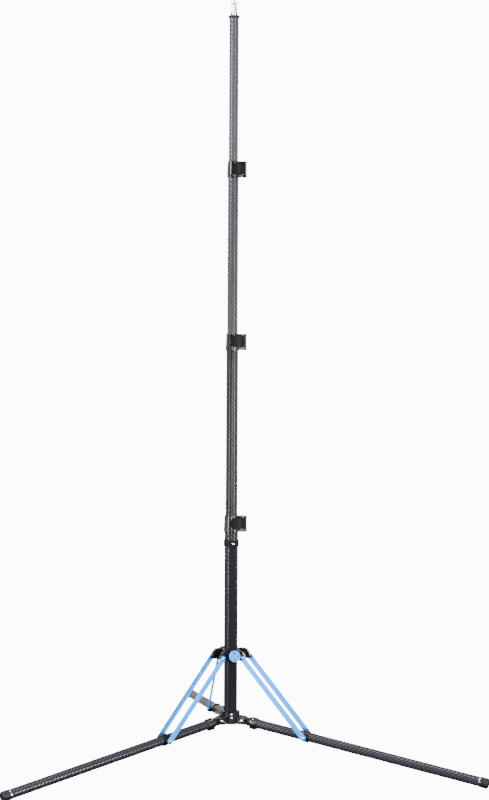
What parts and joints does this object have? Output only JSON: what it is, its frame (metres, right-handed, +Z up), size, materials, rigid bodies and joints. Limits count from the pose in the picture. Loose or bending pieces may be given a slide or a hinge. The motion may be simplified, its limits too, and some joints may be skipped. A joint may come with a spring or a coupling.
{
  "type": "folding light stand",
  "caption": "Telescopic carbon-fibre stand on hinged tripod legs with paired flat braces, flip-lock clamps and a bare mounting stud on top.",
  "frame": {"origin": "centre of the hub's flat underside, on the column's axis; the floor under the feet is about 88 mm lower", "axes": "+Z up along the column; -Y faces the viewer, with one leg pointing away and two towards the viewer's left and right"},
  "size_m": [1.0966, 1.019, 1.7952],
  "materials": {
    "carbon": "clear-coated carbon-fibre twill, dark grey with a diagonal weave",
    "black_plastic": "gloss black moulded plastic",
    "black_metal": "black coated casting",
    "blue_anodised": "satin sky-blue anodised",
    "bright_steel": "bright plated steel",
    "rubber": "matt blue-black rubber",
    "nylon": "dark nylon"
  },
  "bodies": {
    "root": {"hub": "black_metal", "hub_pin_back": "bright_steel", "hub_pin_left": "bright_steel", "hub_pin_right": "bright_steel", "column_tube": "carbon", "column_rail": "black_metal", "rail_collar": "black_plastic", "lower_clamp_collar": "black_plastic", "lower_clamp_pin": "bright_steel", "lower_clamp_bolt": "bright_steel"},
    "section_1": {"section_1_tube": "carbon", "section_1_guide": "nylon", "middle_clamp_collar": "black_plastic", "middle_clamp_pin": "bright_steel", "middle_clamp_bolt": "bright_steel"},
    "section_2": {"section_2_tube": "carbon", "section_2_guide": "nylon", "upper_clamp_collar": "black_plastic", "upper_clamp_pin": "bright_steel", "upper_clamp_bolt": "bright_steel"},
    "section_3": {"section_3_tube": "carbon", "section_3_guide": "nylon", "top_ring": "rubber", "spigot": "bright_steel"},
    "lower_lever": {"lower_clamp_lever": "black_plastic"},
    "middle_lever": {"middle_clamp_lever": "black_plastic"},
    "upper_lever": {"upper_clamp_lever": "black_plastic"},
    "slider": {"slider": "black_metal", "button_spring": "bright_steel", "slider_screw_back_1": "bright_steel", "slider_screw_back_2": "bright_steel", "slider_screw_left_1": "bright_steel", "slider_screw_left_2": "bright_steel", "slider_screw_right_1": "bright_steel", "slider_screw_right_2": "bright_steel"},
    "button": {"lock_button": "blue_anodised"},
    "leg_back": {"leg_back_tube": "carbon", "leg_back_knuckle": "black_metal", "leg_back_bracket": "black_plastic", "leg_back_foot": "rubber"},
    "braces_back": {"brace_back_1": "blue_anodised", "brace_back_2": "blue_anodised", "brace_screw_back_1": "bright_steel", "brace_screw_back_2": "bright_steel"},
    "leg_left": {"leg_left_tube": "carbon", "leg_left_knuckle": "black_metal", "leg_left_bracket": "black_plastic", "leg_left_foot": "rubber"},
    "braces_left": {"brace_left_1": "blue_anodised", "brace_left_2": "blue_anodised", "brace_screw_left_1": "bright_steel", "brace_screw_left_2": "bright_steel"},
    "leg_right": {"leg_right_tube": "carbon", "leg_right_knuckle": "black_metal", "leg_right_bracket": "black_plastic", "leg_right_foot": "rubber"},
    "braces_right": {"brace_right_1": "blue_anodised", "brace_right_2": "blue_anodised", "brace_screw_right_1": "bright_steel", "brace_screw_right_2": "bright_steel"}
  },
  "joints": [
    {"name": "fold", "type": "slide", "parent": "root", "child": "slider", "axis": [0, 0, 1], "range_m": [0, 0.24281]},
    {"name": "leg_back_hinge", "type": "hinge", "parent": "root", "child": "leg_back", "pos_m": [-0.00575, 0.0326, 0.009], "axis": [0.9848, 0.1736, 0], "range_deg": [0, 96.58]},
    {"name": "brace_back_hinge", "type": "hinge", "parent": "slider", "child": "braces_back", "pos_m": [-0.00664, 0.03767, 0.1624], "axis": [-0.9848, -0.1736, 0], "range_deg": [0, 41.58]},
    {"name": "leg_left_hinge", "type": "hinge", "parent": "root", "child": "leg_left", "pos_m": [-0.02626, -0.02015, 0.009], "axis": [-0.6088, 0.7934, 0], "range_deg": [0, 96.58]},
    {"name": "brace_left_hinge", "type": "hinge", "parent": "slider", "child": "braces_left", "pos_m": [-0.03035, -0.02329, 0.1624], "axis": [0.6088, -0.7934, 0], "range_deg": [0, 41.58]},
    {"name": "leg_right_hinge", "type": "hinge", "parent": "root", "child": "leg_right", "pos_m": [0.03058, -0.01267, 0.009], "axis": [-0.3827, -0.9239, 0], "range_deg": [0, 96.58]},
    {"name": "brace_right_hinge", "type": "hinge", "parent": "slider", "child": "braces_right", "pos_m": [0.03534, -0.01464, 0.1624], "axis": [0.3827, 0.9239, 0], "range_deg": [0, 41.58]},
    {"name": "section_1_slide", "type": "slide", "parent": "root", "child": "section_1", "axis": [0, 0, 1], "range_m": [-0.3908, 0]},
    {"name": "section_2_slide", "type": "slide", "parent": "section_1", "child": "section_2", "axis": [0, 0, 1], "range_m": [-0.3639, 0]},
    {"name": "section_3_slide", "type": "slide", "parent": "section_2", "child": "section_3", "axis": [0, 0, 1], "range_m": [-0.3297, 0]},
    {"name": "lower_lever_hinge", "type": "hinge", "parent": "root", "child": "lower_lever", "pos_m": [0.0322, 0, 0.479], "axis": [0, 0, -1], "range_deg": [-120, 0]},
    {"name": "middle_lever_hinge", "type": "hinge", "parent": "section_1", "child": "middle_lever", "pos_m": [0.0294, 0, 0.9099], "axis": [0, 0, -1], "range_deg": [-120, 0]},
    {"name": "upper_lever_hinge", "type": "hinge", "parent": "section_2", "child": "upper_lever", "pos_m": [0.0273, 0, 1.3139], "axis": [0, 0, -1], "range_deg": [-120, 0]},
    {"name": "button_press", "type": "slide", "parent": "slider", "child": "button", "axis": [-0.2164, 0.9763, 0], "range_m": [0, 0.0025], "stiffness_N_per_m": 800}
  ],
  "couplings": [
    {"joint": "leg_back_hinge", "follows": "fold", "rad_per_m": 6.9415},
    {"joint": "brace_back_hinge", "follows": "fold", "rad_per_m": 2.988},
    {"joint": "leg_left_hinge", "follows": "fold", "rad_per_m": 6.9415},
    {"joint": "brace_left_hinge", "follows": "fold", "rad_per_m": 2.988},
    {"joint": "leg_right_hinge", "follows": "fold", "rad_per_m": 6.9415},
    {"joint": "brace_right_hinge", "follows": "fold", "rad_per_m": 2.988}
  ]
}
